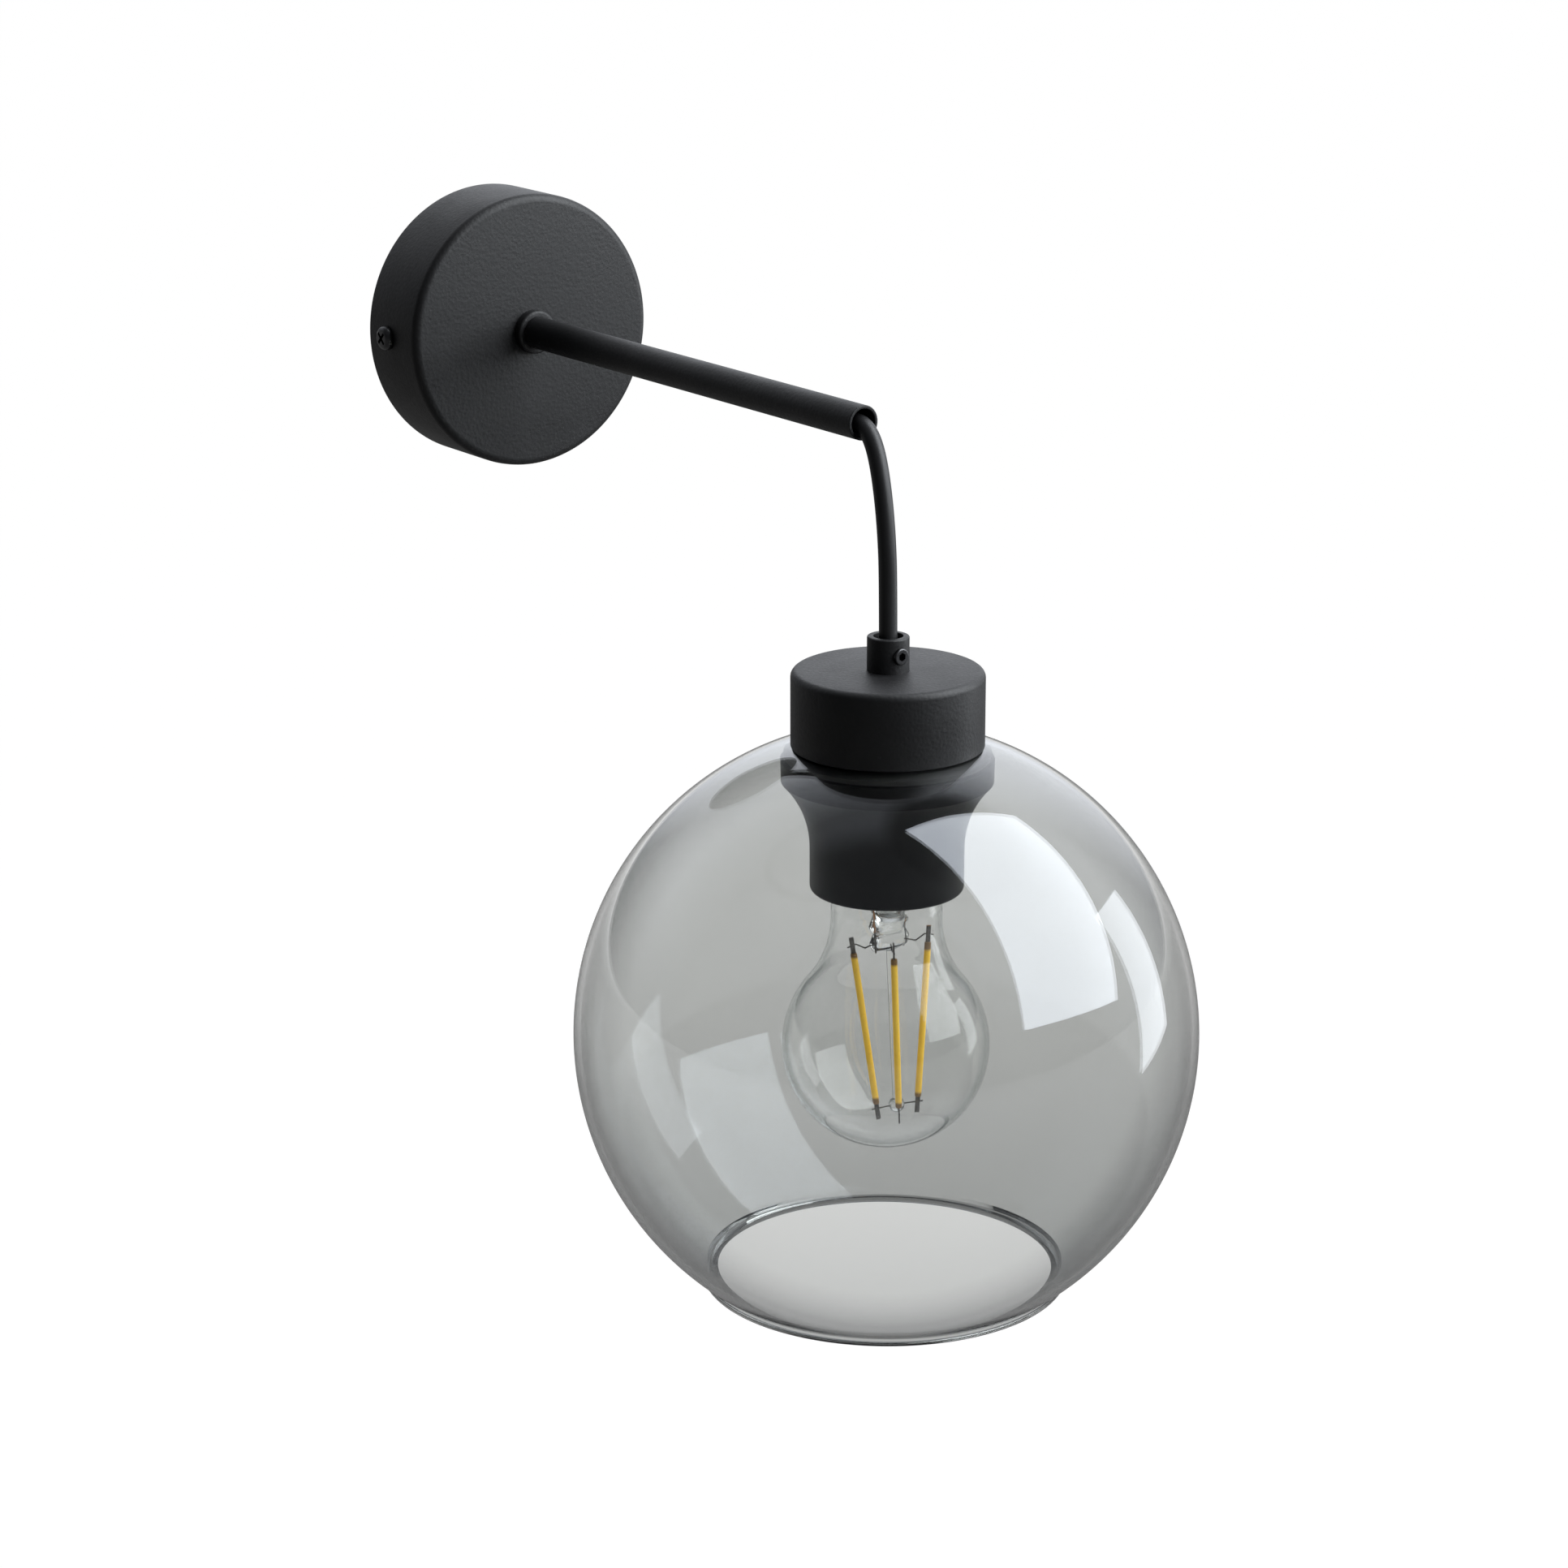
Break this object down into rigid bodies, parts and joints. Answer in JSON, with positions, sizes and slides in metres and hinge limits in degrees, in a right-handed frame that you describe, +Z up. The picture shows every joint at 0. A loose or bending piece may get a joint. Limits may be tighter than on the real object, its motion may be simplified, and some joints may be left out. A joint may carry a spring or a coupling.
{
  "type": "wall sconce",
  "caption": "Wall sconce with a round wall cup, a straight tube arm, and a smoked glass globe with a screw lamp hanging on a short flex from the arm's open mouth.",
  "frame": {"origin": "middle of the wall bracket's two slots, on the wall plane and on the arm's axis", "axes": "+Y into the wall, so the arm reaches out along -Y; +Z up; +X to the right seen from the room"},
  "size_m": [0.18, 0.302, 0.2938],
  "materials": {
    "black_coat": "matt black powder coat with a fine grain",
    "black_screw": "blackened steel",
    "zinc_steel": "zinc plated steel",
    "brass": "plain brass",
    "white_polymer": "moulded white polyamide",
    "black_polymer": "moulded black lampholder polymer",
    "black_flex": "smooth black sheath, slightly satin",
    "core_insulation": "smooth core insulation",
    "ceramic": "unglazed white ceramic",
    "nickel": "nickel plated sheet",
    "gasket_rubber": "silicone ring",
    "smoked_glass": "smoked grey blown glass",
    "clear_glass": "clear blown glass",
    "solder": "tinned contact",
    "black_insulator": "black glass insulator",
    "board": "white circuit board",
    "filament": "yellow coated filament",
    "dark_wire": "dark nickel wire"
  },
  "bodies": {
    "wall_unit": {"wall_bracket": "zinc_steel", "canopy": "black_coat", "canopy_screws": "black_screw", "earth_screw": "brass", "earth_washer": "brass", "terminal_block": "white_polymer", "terminal_inserts": "brass", "terminal_screws": "zinc_steel", "block_screw": "zinc_steel", "arm_tube": "black_coat", "arm_collar": "black_coat", "arm_lock_washer": "zinc_steel", "arm_nut": "zinc_steel", "flex_in_arm": "black_flex", "canopy_leads": "core_insulation"},
    "upper_flex": {"flex_upper": "black_flex"},
    "lower_flex": {"flex_lower": "black_flex"},
    "pendant": {"cord_grip": "black_coat", "grip_screw": "black_screw", "shade_cap": "black_coat", "cap_lock_washer": "zinc_steel", "grip_nut": "zinc_steel", "holder_dome": "black_polymer", "holder_body": "black_polymer", "contact_disc": "ceramic", "screw_shell": "nickel", "centre_contact": "brass", "holder_screws": "zinc_steel", "holder_leads": "core_insulation", "shade_ring": "black_polymer", "glass_gasket": "gasket_rubber", "glass_globe": "smoked_glass"},
    "bulb_slide": {"bulb_tip": "solder", "bulb_insulator": "black_insulator"},
    "bulb": {"bulb_screw_cap": "nickel", "bulb_envelope": "clear_glass", "bulb_driver_board": "board", "bulb_stem": "clear_glass", "bulb_filaments": "filament", "bulb_clips": "dark_wire", "bulb_support_wires": "dark_wire"}
  },
  "joints": [
    {"name": "swing_side", "type": "hinge", "parent": "wall_unit", "child": "upper_flex", "pos_m": [0, -0.206, -0.008], "axis": [0, 1, 0], "range_deg": [-35, 35], "deforming": ["flex_upper"]},
    {"name": "swing_fore_aft", "type": "hinge", "parent": "upper_flex", "child": "lower_flex", "pos_m": [0, -0.212, -0.04], "axis": [1, 0, 0], "range_deg": [-35, 35], "deforming": ["flex_lower"]},
    {"name": "twist", "type": "hinge", "parent": "lower_flex", "child": "pendant", "pos_m": [0, -0.212, -0.06], "axis": [0, 0, 1], "range_deg": [-90, 90], "stiffness_Nm_per_rad": 0.012},
    {"name": "bulb_travel", "type": "slide", "parent": "pendant", "child": "bulb_slide", "axis": [0, 0, -1], "range_m": [0, 0.01452]},
    {"name": "bulb_turn", "type": "hinge", "parent": "bulb_slide", "child": "bulb", "pos_m": [0, -0.212, -0.12], "axis": [0, 0, -1], "range_deg": [0, 1440]}
  ],
  "couplings": [
    {"joint": "bulb_travel", "follows": "bulb_turn", "m_per_rad": 0.00057757}
  ]
}
